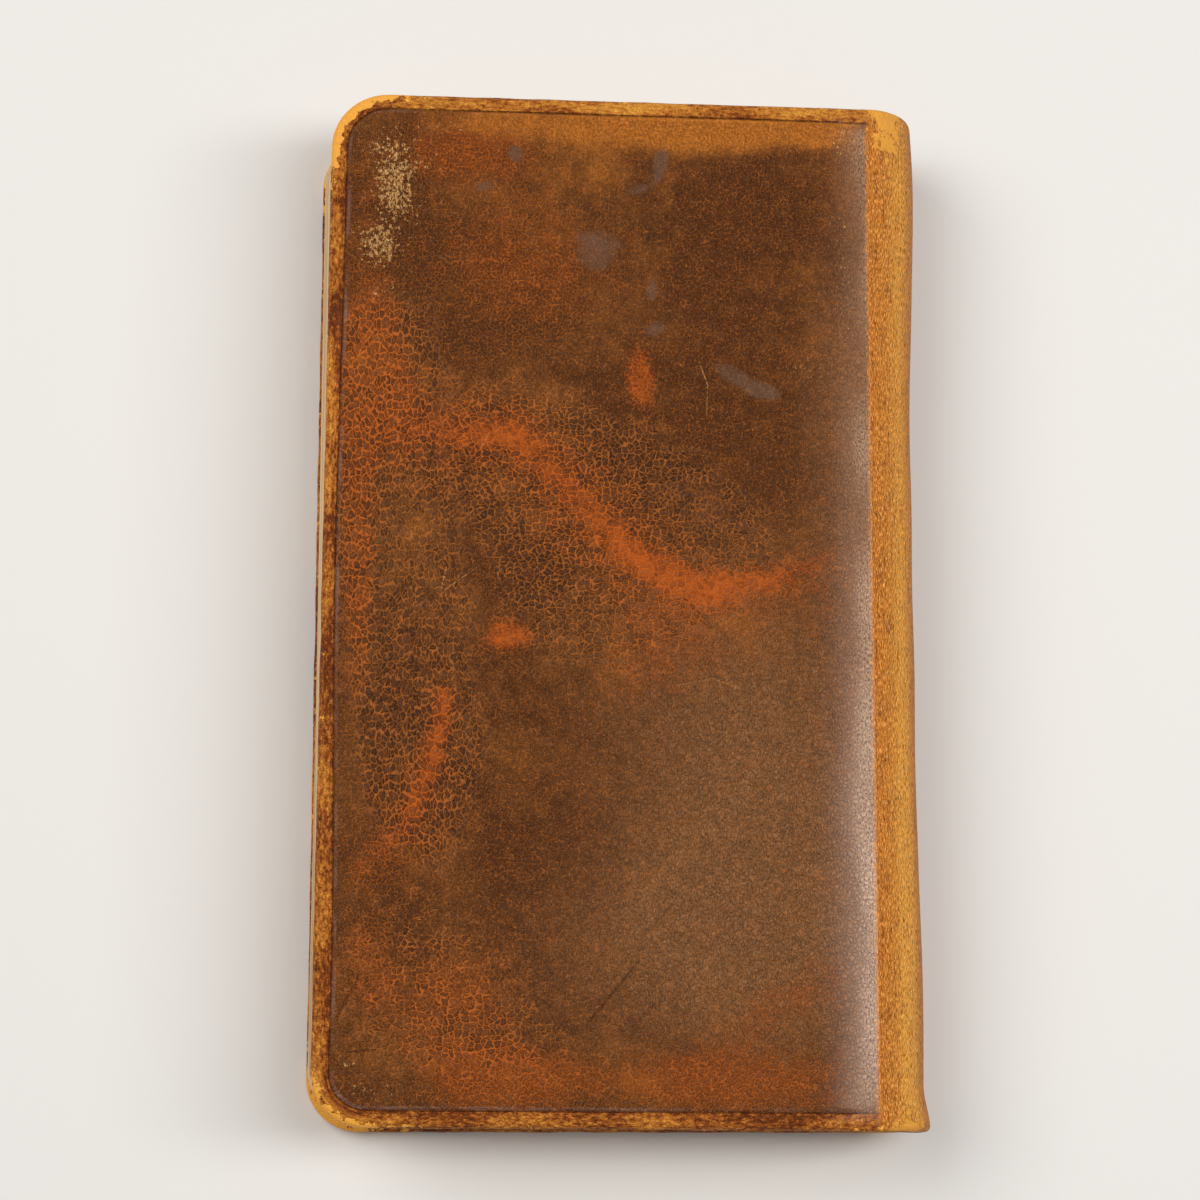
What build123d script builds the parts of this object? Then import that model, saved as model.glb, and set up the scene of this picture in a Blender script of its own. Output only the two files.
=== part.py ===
from build123d import *
from math import cos, radians, sin, tan
import os

# A small book bound in full leather, lying on its front cover. +Z is up, the head is
# towards +Y, the rounded spine is towards +X and the back cover is the upper face.
# The origin is under the middle of the whole book. Millimetres throughout.

# Covers: cover_width runs from the fore-edge to the line where the cover bends.
cover_height = 178.0
cover_width = 94.0
book_thickness = 25.0
head_corner_radius = 10.0
tail_corner_radius = 9.0
cover_edge_round = 0.7
leather_thickness = 0.8
board_thickness = 2.0
turn_in_width = 13.0
turn_in_thickness = 0.4

# Endpapers
paper_thickness = 0.2
pastedown_margin = 4.0

# The book has slumped: its lower cover lies nearer the fore-edge and is slightly turned.
slump = 1.5
slump_turn = 0.25

# Text block
head_and_tail_square = 3.0
upper_fore_edge_square = 2.2
lower_fore_edge_square = 0.6
leaf_corner_radius = 7.0
fore_edge_hollow = 4.0

# Rounded back
spine_bulge = 9.5
lining_thickness = 0.5
headcap_thickness = 1.2
endband_depth = 2.0
cord_count = 4
cord_diameter = 1.4
cord_end_margin = 24.0
cord_trim = 0.04

# Clearances
hinge_gap = 0.15
hinge_lift = 0.15
leaf_gap = 0.3
glue_gap = 0.05
kerf_gap = 0.15
cut_overrun = 2.0

# Worked out from the sizes above
cover_depth = leather_thickness + board_thickness + turn_in_thickness + paper_thickness
half_height = cover_height / 2
slump_slope = tan(radians(slump_turn))
lower_reach = cover_width + slump + (half_height - head_corner_radius) * slump_slope
back_reach = spine_bulge - slump / 2 + half_height * slump_slope / 2
joint_x = (lower_reach - back_reach) / 2
leaf_half_height = half_height - head_and_tail_square
leaves_top = book_thickness - cover_depth - leaf_gap - paper_thickness - glue_gap
leaves_foot = cover_depth + leaf_gap + paper_thickness + glue_gap
lining_inset = leather_thickness + glue_gap
leaves_inset = lining_inset + lining_thickness + glue_gap
headcap_inset = leaves_inset + endband_depth

# Each cover is drawn on the plane of its outer face, from the line where it bends.
# That plane's x runs to the spine and its normal points out of the book.
back_plane = Plane(origin=(joint_x, 0, book_thickness), x_dir=(1, 0, 0), z_dir=(0, 0, 1))
turn = radians(slump_turn)
front_plane = Plane(
    origin=(joint_x - slump, 0, 0), x_dir=(cos(turn), sin(turn), 0), z_dir=(0, 0, -1)
)


def lower_joint_x(y):
    # The lower cover's bending line leans away from the upper one's towards the head
    return joint_x - slump - y * slump_slope


def cover_plan(plane, head, inset, joint_end=hinge_gap):
    # Three sides of a cover drawn in by inset, with round corners at the fore-edge.
    # head is 1 where the plane's y points to the head of the book, or -1.
    reach = cover_width - inset
    half = half_height - inset
    radii = [head_corner_radius - inset, tail_corner_radius - inset]
    with BuildSketch(plane) as plan:
        with BuildLine():
            sides = FilletPolyline(
                (-joint_end, half * head),
                (-reach, half * head),
                (-reach, -half * head),
                (-joint_end, -half * head),
                radius=[max(radius, leather_thickness) for radius in radii],
            )
            Line(sides @ 1, sides @ 0)
        make_face()
    return plan.sketch


def back_points(y, inset):
    # Upper end, crown and lower end of the rounded back at y, inset from the leather's face
    upper_x = joint_x + hinge_gap
    lower_x = lower_joint_x(y) + hinge_gap
    crown_x = (upper_x + lower_x) / 2 + spine_bulge - inset
    return (
        (upper_x, book_thickness - inset),
        (crown_x, book_thickness / 2),
        (lower_x, inset),
    )


def back_section(y, inset, cut_past=0.0):
    # The face between the rounded back and upright walls at the joints. A section that
    # hollows another one out runs on past those walls instead, by cut_past.
    upper, crown, lower = back_points(y, inset)
    middle = book_thickness / 2
    inner_corners = [(lower[0], middle), (upper[0], middle)]
    if cut_past:
        inner_corners = [(lower[0] - cut_past, lower[1]), (upper[0] - cut_past, upper[1])]
    with BuildSketch(Plane.XZ.offset(-y)) as section:
        with BuildLine():
            ThreePointArc(upper, crown, lower)
            Polyline(lower, *inner_corners, upper)
        make_face()
    return section.sketch


def back_solid(start, end, inset, cut_past=0.0, mode=Mode.ADD):
    # The rounded back from one place along the book to another
    sections = [back_section(start, inset, cut_past), back_section(end, inset, cut_past)]
    return loft(sections=sections, ruled=True, mode=mode)


os.makedirs("parts", exist_ok=True)


def bind_cover(name, plane, head):
    # Leather over the board, turned in round three edges, with the board's bed cut out
    skin_depth = leather_thickness + board_thickness + turn_in_thickness
    under_leather = plane.offset(-leather_thickness)
    under_board = under_leather.offset(-board_thickness)
    outwards = Axis(plane.origin, plane.z_dir)
    to_spine = Axis(plane.origin, plane.x_dir)

    with BuildPart() as leather:
        extrude(cover_plan(plane, head, 0), amount=-skin_depth)
        rim = leather.edges().group_by(outwards)[-1].sort_by(to_spine)[:-1]
        fillet(rim, radius=cover_edge_round)
        bed = cover_plan(under_leather, head, leather_thickness, joint_end=0)
        extrude(bed, amount=-board_thickness, mode=Mode.SUBTRACT)
        window = cover_plan(under_board, head, turn_in_width, joint_end=0)
        extrude(window, amount=-turn_in_thickness, mode=Mode.SUBTRACT)
    leather.part.label = name + "_cover_leather"
    export_step(leather.part, "parts/" + leather.part.label + ".step")

    with BuildPart() as board:
        board_plan = cover_plan(under_leather, head, leather_thickness + glue_gap)
        extrude(board_plan, amount=-board_thickness)
    board.part.label = name + "_board"
    export_step(board.part, "parts/" + board.part.label + ".step")

    # The pastedown covers the board between the turn-ins and laps over their inner edges
    with BuildPart() as pastedown:
        middle = cover_plan(under_board, head, turn_in_width + glue_gap)
        extrude(middle, amount=-paper_thickness)
        step = paper_thickness + turn_in_thickness
        extrude(middle, amount=-step)
        lap = cover_plan(under_board.offset(-turn_in_thickness), head, pastedown_margin)
        extrude(lap, amount=-paper_thickness)
        sunk_plane = under_board.offset(-paper_thickness)
        sunk = cover_plan(sunk_plane, head, turn_in_width + paper_thickness, joint_end=0)
        extrude(sunk, amount=-turn_in_thickness, mode=Mode.SUBTRACT)
    pastedown.part.label = name + "_pastedown"
    export_step(pastedown.part, "parts/" + pastedown.part.label + ".step")


bind_cover("back", back_plane, 1)
bind_cover("front", front_plane, -1)

# Leather over the spine, folded in at the head and tail to cap the endbands
with BuildPart() as spine_leather:
    cap_line = half_height - headcap_thickness
    back_solid(half_height, -half_height, 0)
    back_solid(cap_line, -cap_line, leather_thickness, cut_overrun, Mode.SUBTRACT)
    back_solid(half_height, -half_height, headcap_inset, cut_overrun, Mode.SUBTRACT)
spine_leather.part.label = "spine_leather"
export_step(spine_leather.part, "parts/spine_leather.step")

# Paper lining glued to the back of the leaves
with BuildPart() as spine_lining:
    back_solid(leaf_half_height, -leaf_half_height, lining_inset)
    lining_back = lining_inset + lining_thickness
    back_solid(half_height, -half_height, lining_back, cut_overrun, Mode.SUBTRACT)
spine_lining.part.label = "spine_lining"
export_step(spine_lining.part, "parts/spine_lining.step")

# Endbands sit on the head and tail of the leaves, under the headcaps
endband_height = head_and_tail_square - headcap_thickness - glue_gap
for end_name, end in (("head", 1), ("tail", -1)):
    with BuildPart() as endband:
        foot = end * leaf_half_height
        top = end * (leaf_half_height + endband_height)
        back_solid(foot, top, leaves_inset)
        back_solid(foot, top, headcap_inset - glue_gap, cut_overrun, Mode.SUBTRACT)
    endband.part.label = end_name + "_endband"
    export_step(endband.part, "parts/" + endband.part.label + ".step")

# Cords lie in kerfs sawn across the back of the leaves
cord_span = 2 * (leaf_half_height - cord_end_margin)
cord_places = [cord_span * (i / (cord_count - 1) - 0.5) for i in range(cord_count)]
kerf_width = cord_diameter + 2 * kerf_gap
cord_inset = leaves_inset + kerf_width / 2
for i, y in enumerate(cord_places, start=1):
    with BuildPart() as cord:
        with BuildLine() as cord_line:
            ThreePointArc(*[(x, y, z) for x, z in back_points(y, cord_inset)])
        cord_path = cord_line.edge().trim(cord_trim, 1 - cord_trim)
        with BuildSketch(Plane(origin=cord_path @ 0, z_dir=cord_path % 0)):
            Circle(cord_diameter / 2)
        sweep(path=cord_path)
    cord.part.label = "sewing_cord_" + str(i)
    export_step(cord.part, "parts/" + cord.part.label + ".step")


def fore_edge_x(z):
    # The leaves' fore-edge leans with the covers, from the lowest leaf to the top one
    upper_x = joint_x - cover_width + upper_fore_edge_square
    lower_x = joint_x - cover_width - slump + lower_fore_edge_square
    return lower_x + (upper_x - lower_x) * (z - leaves_foot) / (leaves_top - leaves_foot)


# The sewn leaves: one solid with a rounded back, shoulders for the boards, a hollow fore-edge
# and round corners
fore_top = (fore_edge_x(leaves_top), leaves_top)
fore_foot = (fore_edge_x(leaves_foot), leaves_foot)
fore_hollow = (
    (fore_top[0] + fore_foot[0]) / 2 + fore_edge_hollow,
    (leaves_top + leaves_foot) / 2,
)
with BuildPart() as text_block:
    for y in (leaf_half_height, -leaf_half_height):
        upper, crown, lower = back_points(y, leaves_inset)
        with BuildSketch(Plane.XZ.offset(-y)):
            with BuildLine():
                ThreePointArc(upper, crown, lower)
                Polyline(lower, (lower[0], leaves_foot), fore_foot)
                ThreePointArc(fore_foot, fore_hollow, fore_top)
                Polyline(fore_top, (upper[0], leaves_top), upper)
            make_face()
    loft(ruled=True)
    corners = text_block.edges().filter_by(GeomType.CIRCLE).sort_by(Axis.X)[:2]
    fillet(corners, radius=leaf_corner_radius)
    for y in cord_places:
        kerf_ends = (y - kerf_width / 2, y + kerf_width / 2)
        kerf = back_solid(*kerf_ends, 0, mode=Mode.PRIVATE)
        kerf -= back_solid(*kerf_ends, leaves_inset + kerf_width, cut_overrun, Mode.PRIVATE)
        add(kerf, mode=Mode.SUBTRACT)
text_block.part.label = "text_block"
export_step(text_block.part, "parts/text_block.step")

# Free endpapers: the first leaf against each cover, reaching to the line where it bends
flyleaves = (
    ("back_flyleaf", leaves_top + glue_gap, joint_x),
    ("front_flyleaf", leaves_foot - glue_gap - paper_thickness, joint_x - slump),
)
for leaf_name, z, bend_x in flyleaves:
    fore_x = fore_edge_x(z)
    back_x = bend_x - hinge_gap - half_height * slump_slope
    with BuildPart() as flyleaf:
        with BuildSketch(Plane.XY.offset(z)):
            with BuildLine():
                sides = FilletPolyline(
                    (back_x, leaf_half_height),
                    (fore_x, leaf_half_height),
                    (fore_x, -leaf_half_height),
                    (back_x, -leaf_half_height),
                    radius=leaf_corner_radius,
                )
                Line(sides @ 1, sides @ 0)
            make_face()
        extrude(amount=paper_thickness)
    flyleaf.part.label = leaf_name
    export_step(flyleaf.part, "parts/" + leaf_name + ".step")
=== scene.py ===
import math
import bpy
import numpy as np
from mathutils import Matrix, Vector


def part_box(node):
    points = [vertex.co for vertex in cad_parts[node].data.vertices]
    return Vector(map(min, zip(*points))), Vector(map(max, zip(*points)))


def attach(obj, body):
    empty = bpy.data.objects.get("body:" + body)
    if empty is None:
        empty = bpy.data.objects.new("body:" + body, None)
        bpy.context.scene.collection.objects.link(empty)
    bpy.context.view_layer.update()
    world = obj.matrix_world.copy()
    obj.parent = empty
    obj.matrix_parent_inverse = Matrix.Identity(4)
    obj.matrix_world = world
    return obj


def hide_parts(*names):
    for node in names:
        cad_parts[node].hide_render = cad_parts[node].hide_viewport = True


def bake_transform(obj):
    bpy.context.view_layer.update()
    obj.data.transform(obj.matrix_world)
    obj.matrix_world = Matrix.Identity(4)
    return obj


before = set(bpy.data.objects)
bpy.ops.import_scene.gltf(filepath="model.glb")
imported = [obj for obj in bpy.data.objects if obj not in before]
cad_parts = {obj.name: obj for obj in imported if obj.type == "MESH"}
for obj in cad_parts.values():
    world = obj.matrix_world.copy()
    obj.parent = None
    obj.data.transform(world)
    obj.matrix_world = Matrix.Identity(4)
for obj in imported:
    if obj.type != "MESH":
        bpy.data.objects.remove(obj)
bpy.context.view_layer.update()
metre = 0.001  # one millimetre, because everything below is drawn in millimetres
print("frame loaded:", len(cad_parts), "nodes")

# The book as it was drawn: head towards +Y, spine towards +X, back cover on top
book = {
    "thickness": 25.0,
    "coverHeight": 178.0,
    "coverWidth": 94.0,
    "headRadius": 10.0,
    "tailRadius": 9.0,
    "leather": 0.8,
    "slump": 1.5,
    "slumpTurn": 0.25,  # degrees
    "bulge": 9.5,
    "hingeGap": 0.15,
    "leavesTop": 21.05,
    "leavesFoot": 3.95,
    "leafHalf": 86.0,
    "leavesInset": 1.4,
    "foreTop": 2.2,
    "foreFoot": 0.6,
    "leafCorner": 7.0,
    "foreHollow": 4.0,
}
halfThickness = book["thickness"] / 2
halfHeight = book["coverHeight"] / 2
slope = math.tan(math.radians(book["slumpTurn"]))
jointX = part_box("back_cover_leather")[1].x / metre + book["hingeGap"]
print("upper bending line at x =", round(jointX, 3), "mm")


def smooth(low, high, value):
    # 3t^2 - 2t^3 with t running from low to high
    t = np.clip((value - low) / (high - low), 0.0, 1.0)
    return t * t * (3 - 2 * t)


def hump(value, middle, spread):
    # exp(-((value - middle) / spread)^2)
    return np.exp(-(((value - middle) / spread) ** 2))


def blob(u, v, spot):
    # A round-shouldered oval: exp(-(p^2 + q^2)^1.5), with p and q turned by the spot's angle
    cu, cv, ru, rv, angle, strength = spot
    c, s = math.cos(math.radians(angle)), math.sin(math.radians(angle))
    p = ((u - cu) * c + (v - cv) * s) / ru
    q = (-(u - cu) * s + (v - cv) * c) / rv
    return strength * np.exp(-((p * p + q * q) ** 1.5))


def ribbon(u, v, stops):
    # The strongest of the strips between stops (u, v, half width, strength), soft at the sides
    best = np.zeros_like(u)
    for (u0, v0, w0, k0), (u1, v1, w1, k1) in zip(stops[:-1], stops[1:]):
        du, dv = u1 - u0, v1 - v0
        t = np.clip(((u - u0) * du + (v - v0) * dv) / (du * du + dv * dv), 0, 1)
        away = np.hypot(u - u0 - t * du, v - v0 - t * dv)
        width = w0 + (w1 - w0) * t
        best = np.maximum(best, (k0 + (k1 - k0) * t) * np.exp(-((away / width) ** 2)))
    return best


def ripple(u, v, seed, size):
    # Seven sine waves of wavelengths near size, in random directions, between about -1 and 1
    rng = np.random.default_rng(seed)
    total = np.zeros_like(u)
    for turn, phase, stretch in zip(rng.uniform(0, 6.28, 7), rng.uniform(0, 6.28, 7),
                                    rng.uniform(0.7, 1.6, 7)):
        k = 6.28 / (size * stretch)
        total += np.sin(k * (u * math.cos(turn) + v * math.sin(turn)) + phase)
    return total / 3.5


def spaced(start, end, firstStep, lastStep):
    # Points from start to end whose spacing grows evenly from firstStep to lastStep
    count = max(2, int(round(abs(end - start) / ((firstStep + lastStep) / 2))) + 1)
    t = np.linspace(0, 1, count)
    ratio = lastStep / firstStep
    eased = t + (ratio - 1) * t * t / 2
    return start + (end - start) * eased / eased[-1]


def joined(*runs):
    # Several runs of points end to end, without the shared ones
    return np.concatenate([run if i == 0 else run[1:] for i, run in enumerate(runs)])


def gridFaces(rows, columns, closeRows=False, closeColumns=False):
    # Quads between neighbours of a rows by columns grid, as indices
    index = np.arange(rows * columns).reshape(rows, columns)
    if closeRows:
        index = np.vstack([index, index[:1]])
    if closeColumns:
        index = np.hstack([index, index[:, :1]])
    a, b, c, d = index[:-1, :-1], index[:-1, 1:], index[1:, 1:], index[1:, :-1]
    return np.stack([a, b, c, d], axis=-1).reshape(-1, 4)


def pointNormals(points, faces):
    # Area-weighted sum of the face normals round each point
    a, b, c, d = (points[faces[:, k]] for k in range(4))
    flat = np.cross(c - a, d - b)
    total = np.zeros_like(points)
    for k in range(4):
        np.add.at(total, faces[:, k], flat)
    return total / np.maximum(np.linalg.norm(total, axis=1, keepdims=True), 1e-12)


def makePiece(name, points, faces, attributes=None, sharp=50.0, caps=()):
    # One mesh object at the origin from millimetre points, quads and the triangles of its caps
    mesh = bpy.data.meshes.new(name)
    mesh.from_pydata((points * metre).tolist(), [], faces.tolist() + [list(map(int, c)) for c in caps])
    mesh.update()
    mesh.polygons.foreach_set("use_smooth", np.ones(len(mesh.polygons), bool))
    if sharp:
        mesh.set_sharp_from_angle(angle=math.radians(sharp))
    for label, values in (attributes or {}).items():
        if values.ndim == 1:
            made = mesh.attributes.new(label, "FLOAT", "POINT")
            made.data.foreach_set("value", values.astype(np.float32))
        elif values.shape[1] == 3:
            made = mesh.attributes.new(label, "FLOAT_VECTOR", "POINT")
            made.data.foreach_set("vector", values.astype(np.float32).ravel())
        else:
            made = mesh.attributes.new(label, "FLOAT_COLOR", "POINT")
            made.data.foreach_set("color", values.astype(np.float32).ravel())
    piece = bpy.data.objects.new(name, mesh)
    bpy.context.scene.collection.objects.link(piece)
    print("made", name, len(mesh.polygons), "faces")
    return piece


# One hide covers both boards and the spine. Its flat coordinates are s, from the back cover's
# fore-edge (-94) over the upper bend (0) and the lower bend (spineRun) to the front cover's
# fore-edge, and y, from tail to head.
hide = {
    "spineRun": 34.6,
    "cellStep": 0.75,
    "frontStep": 1.1,
    "bandInset": 4.8,  # where the border rows start, in from the edge
    "topRound": 1.1,
    "footRound": 0.9,
    "boardDepth": 3.2,  # outer face to the turned-in leather's face
    "capDepth": 3.35,
    "turnIn": 13.0,
    "capLip": 1.2,
    "turnInThickness": 0.4,
    "lip": 3.0,  # how far past each bend a cover's leather runs on
    "grooveDepth": 0.42,
    "grooveAt": 1.0,  # past the bend, clear of the board's edge
    "grooveHalf": 0.75,
    "rollDepth": 0.42,
    "rollLength": 5.0,
    "lineDepth": 0.15,
    "faceCrown": 0.22,
    "cornerZone": 16.0,  # how far from a corner the grid is drawn in to meet it
}
sLow = -book["coverWidth"]
sHigh = hide["spineRun"] + book["coverWidth"]


def lineInset(s, y):
    # How far in from the edge the tooled line runs: 3 mm, less at mid fore-edge, more at its tail
    edge = smooth(12.0, 4.0, np.abs(s - sLow))
    return 3.0 + edge * (0.35 * hump(y, -55, 30) - 0.6 * hump(y, 5, 45))


def flare(y):
    # The spine stands out a little more near the head and kicks out at the tail
    return 1.3 * hump(y, 74, 22) + 0.6 * hump(y, -66, 22) + 1.3 * smooth(-81, -89, y)


def leanFactor(z):
    return 1 - z / book["thickness"]


def wrap(s, y, depth):
    # Flat hide coordinates to the book: level over the boards, an upright half ellipse
    # (bulge sin a, 12.5 cos a) round the spine, then leaned over by the slump
    run = hide["spineRun"]
    half = halfThickness
    a = np.clip(s / run, 0, 1) * math.pi
    bulge = book["bulge"] + flare(y)
    nx, nz = np.sin(a) * half, np.cos(a) * bulge
    size = np.hypot(nx, nz)
    nx, nz = nx / size, nz / size
    reach = np.minimum(s, 0) - np.maximum(s - run, 0)
    over = np.where(s < run / 2, np.minimum(s, 0), -np.maximum(s - run, 0))
    x = over + bulge * np.sin(a) - nx * depth
    z = half + half * np.cos(a) - nz * depth
    upper = smooth(-2, 2, s)
    lower = smooth(run + 2, run - 2, s)
    lean = np.where(s < run / 2, upper * leanFactor(z), 1 - lower * (1 - leanFactor(z)))
    front = np.where(s > run / 2, np.minimum(reach, 0), 0)
    x = jointX + x - (book["slump"] + y * slope) * lean
    y = y + front * slope
    return np.stack([x, y, z], axis=-1)


def edgeDistance(s, y):
    # Distance in from the edge of a rectangle with round corners, in flat coordinates
    middle, reach = (sLow + sHigh) / 2, (sHigh - sLow) / 2
    radius = np.where(y > 0, book["headRadius"], book["tailRadius"])
    p = np.abs(s - middle) - (reach - radius)
    q = np.abs(y) - (halfHeight - radius)
    outside = np.hypot(np.maximum(p, 0), np.maximum(q, 0)) + np.minimum(np.maximum(p, q), 0)
    return radius - outside


def roundCorners(s, y, inset):
    # A square-cornered grid drawn in to round corners: near a corner each point moves towards
    # the corner square's inner point by the ratio of round outline to square outline
    zone = hide["cornerZone"]
    middle, reach = (sLow + sHigh) / 2, (sHigh - sLow) / 2 - inset
    radius = np.where(y > 0, book["headRadius"], book["tailRadius"]) - inset
    sideS, sideY = np.sign(s - middle), np.sign(y)
    p = np.maximum(np.abs(s - middle) - (reach - zone), 0)
    q = np.maximum(np.abs(y) - (halfHeight - inset - zone), 0)
    size = np.maximum(np.maximum(p, q), 1e-9)
    dp, dq = p / size, q / size  # direction whose longer part is one
    # along (dp, dq) k, the round outline is met where |(dp k, dq k) - c| = radius
    c = zone - radius
    aa = dp * dp + dq * dq
    bb = (dp + dq) * c
    cc = 2 * c * c - radius * radius
    k = (bb + np.sqrt(np.maximum(bb * bb - aa * cc, 0))) / aa
    inRound = (dp * zone > c) & (dq * zone > c) & (k * dp > c) & (k * dq > c)
    ratio = np.where(inRound, k / zone, 1.0)
    both = (p > 0) & (q > 0)
    ratio = np.where(both, ratio, 1.0)
    newS = middle + sideS * (np.abs(s - middle) - p + p * ratio)
    newY = sideY * (np.abs(y) - q + q * ratio)
    return newS, newY


def buildHide():
    run, lip, step = hide["spineRun"], hide["lip"], hide["cellStep"]
    inset = hide["bandInset"]
    front = hide["frontStep"]
    across = joined(
        spaced(sLow + inset, -4, step, step), spaced(-4, -1.2, step, 0.16),
        spaced(-1.2, 1.2, 0.16, 0.16), spaced(1.2, lip, 0.2, 0.4),
        spaced(lip, run / 2, 0.45, 0.6), spaced(run / 2, run - lip, 0.6, 0.45),
        spaced(run - lip, run - 1.2, 0.4, 0.2), spaced(run - 1.2, run + 1.2, 0.2, 0.2),
        spaced(run + 1.2, run + 5, 0.2, front), spaced(run + 5, sHigh - inset, front, front),
    )
    upward = joined(spaced(-halfHeight + inset, -78, 0.5, step), spaced(-78, 78, step, step),
                    spaced(78, halfHeight - inset, step, 0.5))
    rows, columns = len(upward), len(across)
    faceS, faceY = roundCorners(*np.meshgrid(across, upward), inset)
    faceIndex = np.arange(rows * columns).reshape(rows, columns)

    # The border: the face's outline, anticlockwise, carried outwards over the edge and under
    loop = np.concatenate([faceIndex[0, :-1], faceIndex[:-1, -1],
                           faceIndex[-1, :0:-1], faceIndex[:0:-1, 0]])
    cutS = np.concatenate([across[:-1], np.full(rows - 1, across[-1]),
                           across[:0:-1], np.full(rows - 1, across[0])])
    s0, y0 = faceS.ravel()[loop], faceY.ravel()[loop]
    middle = (sLow + sHigh) / 2
    radius = np.where(y0 > 0, book["headRadius"], book["tailRadius"])
    centreS = middle + np.sign(s0 - middle) * ((sHigh - sLow) / 2 - radius)
    centreY = np.sign(y0) * (halfHeight - radius)
    towardS = (s0 - centreS) * np.sign(s0 - middle)
    towardY = (y0 - centreY) * np.sign(y0)
    atSide = np.abs(s0 - middle) > (sHigh - sLow) / 2 - inset - 1e-6
    corner = (towardS > 1e-9) & (towardY > 1e-9)
    outS = np.where(corner, (s0 - centreS) / (radius - inset),
                    np.where(atSide, np.sign(s0 - middle), 0.0))
    outY = np.where(corner, (y0 - centreY) / (radius - inset),
                    np.where(atSide, 0.0, np.sign(y0)))
    edgeS, edgeY = s0 + outS * inset, y0 + outY * inset

    def drawnIn(d):
        # The outline drawn in by d; past the corner's radius its centre moves in as well
        least = 0.6
        extra = np.maximum(d - (radius - least), 0)
        diagS, diagY = -np.sign(s0 - middle), -np.sign(y0)
        roundS = centreS + diagS * extra + outS * np.maximum(radius - d, least)
        roundY = centreY + diagY * extra + outY * np.maximum(radius - d, least)
        gap = np.maximum(np.maximum(-towardS, -towardY), 0)
        fade = np.clip(1 - gap / hide["cornerZone"], 0, 1) * extra
        straightS = edgeS - outS * d + np.where(atSide, 0.0, diagS * fade)
        straightY = edgeY - outY * d + np.where(atSide, diagY * fade, 0.0)
        return np.where(corner, roundS, straightS), np.where(corner, roundY, straightY)

    overSpine = smooth(-1.5, 1.5, cutS) * smooth(run + 1.5, run - 1.5, cutS)
    nearSpine = smooth(-5.0, -0.8, cutS) * smooth(run + 5.0, run + 0.8, cutS)
    total = hide["boardDepth"] + (hide["capDepth"] - hide["boardDepth"]) * overSpine
    under = hide["turnIn"] + (hide["capLip"] - hide["turnIn"]) * nearSpine
    line = lineInset(edgeS, edgeY)
    top, foot = hide["topRound"], hide["footRound"]
    rowsIn = [(inset - 0.6) + 0 * line]
    rowsIn += [line + off for off in (0.75, 0.45, 0.26, 0.12, 0.0, -0.12, -0.26, -0.45, -0.75)]
    rowsIn += [0.5 * (line - 0.75 + top)]
    profile = [(d, 0 * line, 0.0) for d in rowsIn]
    for angle in np.radians([0, 18, 36, 54, 72, 90]):
        profile.append((top * (1 - math.sin(angle)) + 0 * line,
                        top * (1 - math.cos(angle)) + 0 * line, 0.0))
    profile.append((0 * line, top + (total - top - foot) * 0.5, 0.0))
    for angle in np.radians([0, 30, 60, 90]):
        profile.append((foot * (1 - math.cos(angle)) + 0 * line,
                        total - foot * (1 - math.sin(angle)), 0.0))
    for share in (0.2, 0.45, 0.7, 0.97, 1.0):
        profile.append((foot + (under - foot) * share, total, share))

    places, hides, sideOf = [], [], []
    walked = np.zeros_like(line)
    lastD, lastH = inset + 0 * line, 0 * line
    for d, h, share in profile:
        walked = walked + np.hypot(d - lastD, h - lastH)
        lastD, lastH = d, h
        s, y = drawnIn(d)
        places.append(wrap(s, y, h))
        hides.append(np.stack([s0 + outS * walked, y0 + outY * walked], axis=-1))
        sideOf.append(h)
    band = np.concatenate(places)
    facePlace = wrap(faceS.ravel(), faceY.ravel(), 0.0)
    points = np.concatenate([facePlace, band])
    flat = np.concatenate([np.stack([faceS.ravel(), faceY.ravel()], axis=-1),
                           np.concatenate(hides)])
    depth = np.concatenate([np.zeros(rows * columns), np.concatenate(sideOf)])
    underShare = np.concatenate([np.zeros(rows * columns)]
                                + [share + 0 * line for _, _, share in profile])
    around = len(loop)
    index = np.vstack([loop, rows * columns + np.arange(len(profile) * around).reshape(-1, around)])
    closed = np.hstack([index, index[:, :1]])
    bandFaces = np.stack([closed[1:, :-1], closed[1:, 1:], closed[:-1, 1:], closed[:-1, :-1]],
                         axis=-1).reshape(-1, 4)
    faces = np.vstack([gridFaces(rows, columns), bandFaces])
    columnS = np.concatenate([np.tile(across, rows), np.tile(cutS, len(profile))])
    along = np.concatenate([faceS.ravel() + faceY.ravel(), np.tile(s0 + y0, len(profile))])
    print("hide grid:", rows, "rows,", columns, "columns,", around, "round the border")
    return points, faces, flat, depth, underShare, columnS, along


hidePoints, hideFaces, hideFlat, hideDepth, hideUnder, hideColumn, hideAlong = buildHide()
hideOut = pointNormals(hidePoints, hideFaces)


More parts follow.
